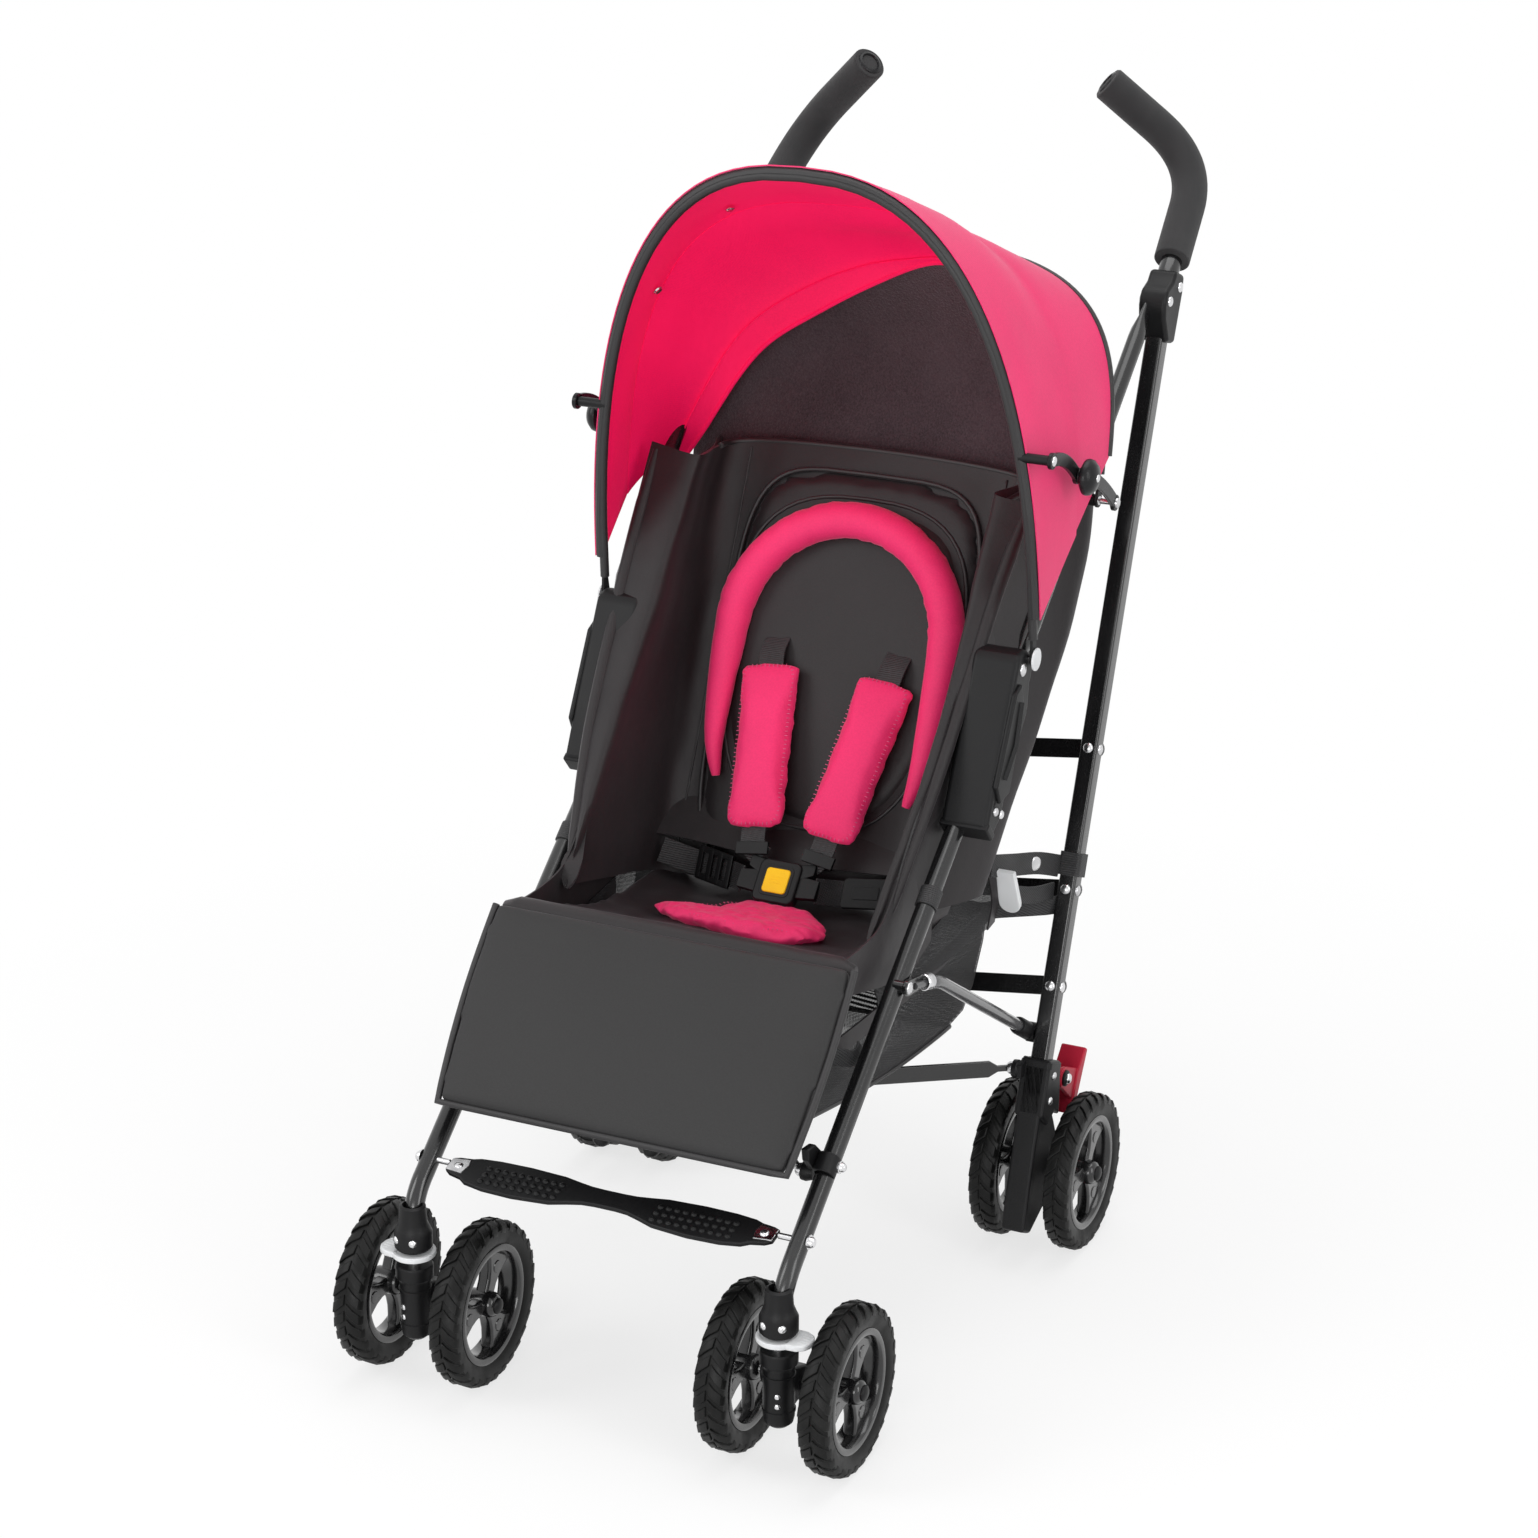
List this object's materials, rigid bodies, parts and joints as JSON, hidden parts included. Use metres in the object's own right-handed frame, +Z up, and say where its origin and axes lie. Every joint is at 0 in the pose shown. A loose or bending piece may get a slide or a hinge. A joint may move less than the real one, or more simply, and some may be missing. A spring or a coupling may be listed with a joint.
{
  "type": "umbrella stroller",
  "caption": "Folding umbrella buggy: twin swivel front wheels, braked rear wheels, curved foam handles, padded seat with harness, hood, footrest and basket.",
  "frame": {"origin": "on the floor, under the middle of the outline of the open buggy", "axes": "+Z up, -Y the way the buggy rolls forwards, X across it with the rider's left at +X"},
  "size_m": [0.5502, 0.9203, 1.0581],
  "materials": {
    "frame_paint": "gloss black powder coat on steel tube",
    "black_plastic": "satin black moulding",
    "wheel_rubber": "black treaded tyre on a gloss black spoked rim",
    "grip_foam": "matt black foam",
    "grey_plastic": "light grey moulding",
    "red_plastic": "red ribbed moulding",
    "yellow_plastic": "yellow push button",
    "black_fabric": "black woven polyester",
    "pink_fabric": "bright pink woven polyester",
    "mesh_fabric": "black open mesh"
  },
  "bodies": {
    "seat": {"seat_base": "black_fabric", "basket": "mesh_fabric"},
    "seat_back": {"seat_back": "black_fabric", "head_roll": "pink_fabric", "shoulder_pad_left": "pink_fabric", "shoulder_pad_right": "pink_fabric"},
    "upright_left": {"upright_left": "frame_paint", "top_joint_left": "black_plastic", "handle_grip_left": "grip_foam", "rear_bracket_left": "black_plastic"},
    "upper_tube_left": {"upper_tube_left": "frame_paint"},
    "leg_left": {"front_tube_left": "frame_paint", "elbow_housing_left": "black_plastic"},
    "side_rail_left": {"side_rail_left": "frame_paint"},
    "crossbar_low_left": {"crossbar_low_left": "frame_paint"},
    "crossbar_middle_left": {"crossbar_middle_left": "frame_paint"},
    "crossbar_top_left": {"crossbar_top_left": "frame_paint"},
    "brace_arm_rear_left": {"brace_arm_rear_left": "frame_paint"},
    "brace_arm_front_left": {"brace_arm_front_left": "frame_paint"},
    "fork_left": {"front_fork_left": "black_plastic"},
    "swivel_lock_left": {"swivel_lock_left": "grey_plastic"},
    "front_wheel_outer_left": {"front_wheel_outer_left": "wheel_rubber"},
    "front_wheel_inner_left": {"front_wheel_inner_left": "wheel_rubber"},
    "rear_wheel_outer_left": {"rear_wheel_outer_left": "wheel_rubber"},
    "rear_wheel_inner_left": {"rear_wheel_inner_left": "wheel_rubber"},
    "brake_pedal_left": {"brake_pedal_left": "red_plastic"},
    "upright_right": {"upright_right": "frame_paint", "top_joint_right": "black_plastic", "handle_grip_right": "grip_foam", "rear_bracket_right": "black_plastic"},
    "upper_tube_right": {"upper_tube_right": "frame_paint"},
    "leg_right": {"front_tube_right": "frame_paint", "elbow_housing_right": "black_plastic"},
    "side_rail_right": {"side_rail_right": "frame_paint"},
    "crossbar_low_right": {"crossbar_low_right": "frame_paint"},
    "crossbar_middle_right": {"crossbar_middle_right": "frame_paint"},
    "crossbar_top_right": {"crossbar_top_right": "frame_paint"},
    "brace_arm_rear_right": {"brace_arm_rear_right": "frame_paint"},
    "brace_arm_front_right": {"brace_arm_front_right": "frame_paint"},
    "fork_right": {"front_fork_right": "black_plastic"},
    "swivel_lock_right": {"swivel_lock_right": "grey_plastic"},
    "front_wheel_outer_right": {"front_wheel_outer_right": "wheel_rubber"},
    "front_wheel_inner_right": {"front_wheel_inner_right": "wheel_rubber"},
    "rear_wheel_outer_right": {"rear_wheel_outer_right": "wheel_rubber"},
    "rear_wheel_inner_right": {"rear_wheel_inner_right": "wheel_rubber"},
    "brake_pedal_right": {"brake_pedal_right": "red_plastic"},
    "brace_hub": {"brace_hub": "black_plastic"},
    "hood": {"hood_bow_rear": "black_plastic", "hood_fabric": "pink_fabric"},
    "hood_front": {"hood_bow_front": "black_plastic"},
    "stay_rear_left": {"stay_arm_rear_left": "black_plastic"},
    "stay_front_left": {"stay_arm_front_left": "black_plastic"},
    "stay_rear_right": {"stay_arm_rear_right": "black_plastic"},
    "stay_front_right": {"stay_arm_front_right": "black_plastic"},
    "footrest": {"footrest": "black_plastic"},
    "harness": {"buckle": "black_plastic", "crotch_pad": "pink_fabric"},
    "leg_rest": {"leg_rest": "black_fabric"},
    "buckle_button": {"buckle_button": "yellow_plastic"}
  },
  "joints": [
    {"name": "frame_fold", "type": "slide", "parent": "seat", "child": "upright_left", "axis": [-1, 0, 0], "range_m": [0, 0.102], "deforming": ["seat_base", "seat_back", "leg_rest", "hood_fabric", "basket", "hood_bow_front", "hood_bow_rear", "footrest", "head_roll", "shoulder_pad_left", "shoulder_pad_right", "crotch_pad"]},
    {"name": "top_pivot_left", "type": "hinge", "parent": "upright_left", "child": "upper_tube_left", "pos_m": [0.212, 0.3141, 0.86595], "axis": [-1, 0, 0], "range_deg": [0, 30.03]},
    {"name": "elbow_left", "type": "hinge", "parent": "upper_tube_left", "child": "leg_left", "pos_m": [0.2035, 0.01755, 0.59], "axis": [1, 0, 0], "range_deg": [0, 69.85]},
    {"name": "rail_pivot_left", "type": "hinge", "parent": "upright_left", "child": "side_rail_left", "pos_m": [0.2005, 0.08025, 0.212], "axis": [-1, 0, 0], "range_deg": [0, 26.51]},
    {"name": "crossbar_low_left", "type": "hinge", "parent": "upright_left", "child": "crossbar_low_left", "pos_m": [0.218, 0.10778, 0.25094], "axis": [0, 0.9323, -0.3616], "range_deg": [0, 65.13]},
    {"name": "crossbar_middle_left", "type": "hinge", "parent": "upright_left", "child": "crossbar_middle_left", "pos_m": [0.218, 0.14105, 0.33671], "axis": [0, 0.9323, -0.3616], "range_deg": [0, 65.13]},
    {"name": "crossbar_top_left", "type": "hinge", "parent": "upright_left", "child": "crossbar_top_left", "pos_m": [0.218, 0.18951, 0.46164], "axis": [0, 0.9323, -0.3616], "range_deg": [0, 65.13]},
    {"name": "brace_rear_left", "type": "hinge", "parent": "upright_left", "child": "brace_arm_rear_left", "pos_m": [0.1965, 0.05055, 0.186], "axis": [-0.9473, 0.1975, 0.252], "range_deg": [0, 80.61]},
    {"name": "brace_front_left", "type": "hinge", "parent": "leg_left", "child": "brace_arm_front_left", "pos_m": [0.1545, -0.32545, 0.2395], "axis": [0.6338, -0.4736, -0.6115], "range_deg": [0, 48.68]},
    {"name": "swivel_left", "type": "hinge", "parent": "leg_left", "child": "fork_left", "pos_m": [0.1775, -0.41845, 0.119], "axis": [0, 0, 1], "continuous": true},
    {"name": "swivel_lock_left", "type": "slide", "parent": "leg_left", "child": "swivel_lock_left", "axis": [0, 0, -1], "range_m": [0, 0.006]},
    {"name": "front_wheel_outer_left_spin", "type": "hinge", "parent": "fork_left", "child": "front_wheel_outer_left", "pos_m": [0.226, -0.38545, 0.075], "axis": [1, 0, 0], "continuous": true},
    {"name": "front_wheel_inner_left_spin", "type": "hinge", "parent": "fork_left", "child": "front_wheel_inner_left", "pos_m": [0.129, -0.38545, 0.075], "axis": [1, 0, 0], "continuous": true},
    {"name": "rear_wheel_outer_left_spin", "type": "hinge", "parent": "upright_left", "child": "rear_wheel_outer_left", "pos_m": [0.2555, 0.08755, 0.075], "axis": [1, 0, 0], "continuous": true},
    {"name": "rear_wheel_inner_left_spin", "type": "hinge", "parent": "upright_left", "child": "rear_wheel_inner_left", "pos_m": [0.1805, 0.08755, 0.075], "axis": [1, 0, 0], "continuous": true},
    {"name": "brake_left", "type": "hinge", "parent": "upright_left", "child": "brake_pedal_left", "pos_m": [0.218, 0.10655, 0.158], "axis": [-1, 0, 0], "range_deg": [0, 20]},
    {"name": "frame_fold_right", "type": "slide", "parent": "seat", "child": "upright_right", "axis": [1, 0, 0], "range_m": [0, 0.10202]},
    {"name": "top_pivot_right", "type": "hinge", "parent": "upright_right", "child": "upper_tube_right", "pos_m": [-0.212, 0.3141, 0.86595], "axis": [-1, 0, 0], "range_deg": [0, 30.03]},
    {"name": "elbow_right", "type": "hinge", "parent": "upper_tube_right", "child": "leg_right", "pos_m": [-0.2035, 0.01755, 0.59], "axis": [1, 0, 0], "range_deg": [0, 69.85]},
    {"name": "rail_pivot_right", "type": "hinge", "parent": "upright_right", "child": "side_rail_right", "pos_m": [-0.2005, 0.08025, 0.212], "axis": [-1, 0, 0], "range_deg": [0, 26.51]},
    {"name": "crossbar_low_right", "type": "hinge", "parent": "upright_right", "child": "crossbar_low_right", "pos_m": [-0.218, 0.11132, 0.24956], "axis": [0, -0.9323, 0.3616], "range_deg": [0, 65.13]},
    {"name": "crossbar_middle_right", "type": "hinge", "parent": "upright_right", "child": "crossbar_middle_right", "pos_m": [-0.218, 0.14459, 0.33533], "axis": [0, -0.9323, 0.3616], "range_deg": [0, 65.13]},
    {"name": "crossbar_top_right", "type": "hinge", "parent": "upright_right", "child": "crossbar_top_right", "pos_m": [-0.218, 0.19305, 0.46027], "axis": [0, -0.9323, 0.3616], "range_deg": [0, 65.13]},
    {"name": "brace_rear_right", "type": "hinge", "parent": "upright_right", "child": "brace_arm_rear_right", "pos_m": [-0.1965, 0.05055, 0.186], "axis": [-0.9473, -0.1975, -0.252], "range_deg": [0, 80.61]},
    {"name": "brace_front_right", "type": "hinge", "parent": "leg_right", "child": "brace_arm_front_right", "pos_m": [-0.1545, -0.32545, 0.2395], "axis": [0.6338, 0.4736, 0.6115], "range_deg": [0, 48.68]},
    {"name": "swivel_right", "type": "hinge", "parent": "leg_right", "child": "fork_right", "pos_m": [-0.1775, -0.41845, 0.119], "axis": [0, 0, 1], "continuous": true},
    {"name": "swivel_lock_right", "type": "slide", "parent": "leg_right", "child": "swivel_lock_right", "axis": [0, 0, -1], "range_m": [0, 0.006]},
    {"name": "front_wheel_outer_right_spin", "type": "hinge", "parent": "fork_right", "child": "front_wheel_outer_right", "pos_m": [-0.226, -0.38545, 0.075], "axis": [1, 0, 0], "continuous": true},
    {"name": "front_wheel_inner_right_spin", "type": "hinge", "parent": "fork_right", "child": "front_wheel_inner_right", "pos_m": [-0.129, -0.38545, 0.075], "axis": [1, 0, 0], "continuous": true},
    {"name": "rear_wheel_outer_right_spin", "type": "hinge", "parent": "upright_right", "child": "rear_wheel_outer_right", "pos_m": [-0.2555, 0.08755, 0.075], "axis": [1, 0, 0], "continuous": true},
    {"name": "rear_wheel_inner_right_spin", "type": "hinge", "parent": "upright_right", "child": "rear_wheel_inner_right", "pos_m": [-0.1805, 0.08755, 0.075], "axis": [1, 0, 0], "continuous": true},
    {"name": "brake_right", "type": "hinge", "parent": "upright_right", "child": "brake_pedal_right", "pos_m": [-0.218, 0.10655, 0.158], "axis": [-1, 0, 0], "range_deg": [0, 20]},
    {"name": "brace_hub_rise", "type": "hinge", "parent": "seat", "child": "brace_hub", "pos_m": [0, 0.08259, 0.22344], "axis": [-1, 0, 0], "range_deg": [0, 76.94]},
    {"name": "hood_follow", "type": "hinge", "parent": "seat", "child": "hood", "pos_m": [0, 0.3141, 0.86595], "axis": [-1, 0, 0], "range_deg": [0, 30.03]},
    {"name": "hood_fold", "type": "hinge", "parent": "hood", "child": "hood_front", "pos_m": [0, 0.02955, 0.6], "axis": [-1, 0, 0], "range_deg": [0, 30], "deforming": ["hood_fabric"]},
    {"name": "stay_rear_left", "type": "hinge", "parent": "upper_tube_left", "child": "stay_rear_left", "pos_m": [0.2345, 0.16355, 0.7125], "axis": [-1, 0, 0], "range_deg": [0, 63.44]},
    {"name": "stay_knee_left", "type": "hinge", "parent": "stay_rear_left", "child": "stay_front_left", "pos_m": [0.2345, 0.07655, 0.76], "axis": [1, 0, 0], "range_deg": [0, 124.18]},
    {"name": "stay_rear_right", "type": "hinge", "parent": "upper_tube_right", "child": "stay_rear_right", "pos_m": [-0.2345, 0.16355, 0.7125], "axis": [-1, 0, 0], "range_deg": [0, 63.44]},
    {"name": "stay_knee_right", "type": "hinge", "parent": "stay_rear_right", "child": "stay_front_right", "pos_m": [-0.2345, 0.07655, 0.76], "axis": [1, 0, 0], "range_deg": [0, 124.18]},
    {"name": "footrest_follow", "type": "hinge", "parent": "hood", "child": "footrest", "pos_m": [0, 0.01755, 0.59], "axis": [1, 0, 0], "range_deg": [0, 69.85]},
    {"name": "harness_lift", "type": "slide", "parent": "seat", "child": "harness", "axis": [0, 0.2676, 0.9635], "range_m": [0, 0.14948]},
    {"name": "leg_rest_raise", "type": "hinge", "parent": "seat", "child": "leg_rest", "pos_m": [0, -0.25795, 0.3985], "axis": [-1, 0, 0], "range_deg": [0, 40]},
    {"name": "seat_recline", "type": "hinge", "parent": "seat", "child": "seat_back", "pos_m": [0, -0.00045, 0.345], "axis": [-1, 0, 0], "range_deg": [0, 25]},
    {"name": "buckle_press", "type": "slide", "parent": "harness", "child": "buckle_button", "axis": [0, 0.7431, -0.6691], "range_m": [0, 0.002], "stiffness_N_per_m": 600, "springref_m": -0.001}
  ],
  "couplings": [
    {"joint": "top_pivot_left", "follows": "frame_fold", "rad_per_m": 5.1373},
    {"joint": "elbow_left", "follows": "frame_fold", "rad_per_m": 11.949},
    {"joint": "rail_pivot_left", "follows": "frame_fold", "rad_per_m": 4.5344},
    {"joint": "crossbar_low_left", "follows": "frame_fold", "rad_per_m": 11.143},
    {"joint": "crossbar_middle_left", "follows": "frame_fold", "rad_per_m": 11.143},
    {"joint": "crossbar_top_left", "follows": "frame_fold", "rad_per_m": 11.143},
    {"joint": "brace_rear_left", "follows": "frame_fold", "rad_per_m": 13.791},
    {"joint": "brace_front_left", "follows": "frame_fold", "rad_per_m": 8.3286},
    {"joint": "frame_fold_right", "follows": "frame_fold", "ratio": 1},
    {"joint": "top_pivot_right", "follows": "frame_fold", "rad_per_m": 5.1373},
    {"joint": "elbow_right", "follows": "frame_fold", "rad_per_m": 11.949},
    {"joint": "rail_pivot_right", "follows": "frame_fold", "rad_per_m": 4.5344},
    {"joint": "crossbar_low_right", "follows": "frame_fold", "rad_per_m": 11.143},
    {"joint": "crossbar_middle_right", "follows": "frame_fold", "rad_per_m": 11.143},
    {"joint": "crossbar_top_right", "follows": "frame_fold", "rad_per_m": 11.143},
    {"joint": "brace_rear_right", "follows": "frame_fold", "rad_per_m": 13.791},
    {"joint": "brace_front_right", "follows": "frame_fold", "rad_per_m": 8.3286},
    {"joint": "brace_hub_rise", "follows": "frame_fold", "rad_per_m": 13.163},
    {"joint": "hood_follow", "follows": "frame_fold", "rad_per_m": 5.1373},
    {"joint": "stay_rear_left", "follows": "hood_fold", "ratio": 2.1142},
    {"joint": "stay_knee_left", "follows": "hood_fold", "ratio": 4.1386},
    {"joint": "stay_rear_right", "follows": "hood_fold", "ratio": 2.1142},
    {"joint": "stay_knee_right", "follows": "hood_fold", "ratio": 4.1386},
    {"joint": "footrest_follow", "follows": "frame_fold", "rad_per_m": 11.949},
    {"joint": "harness_lift", "follows": "frame_fold", "ratio": 1.4652}
  ]
}
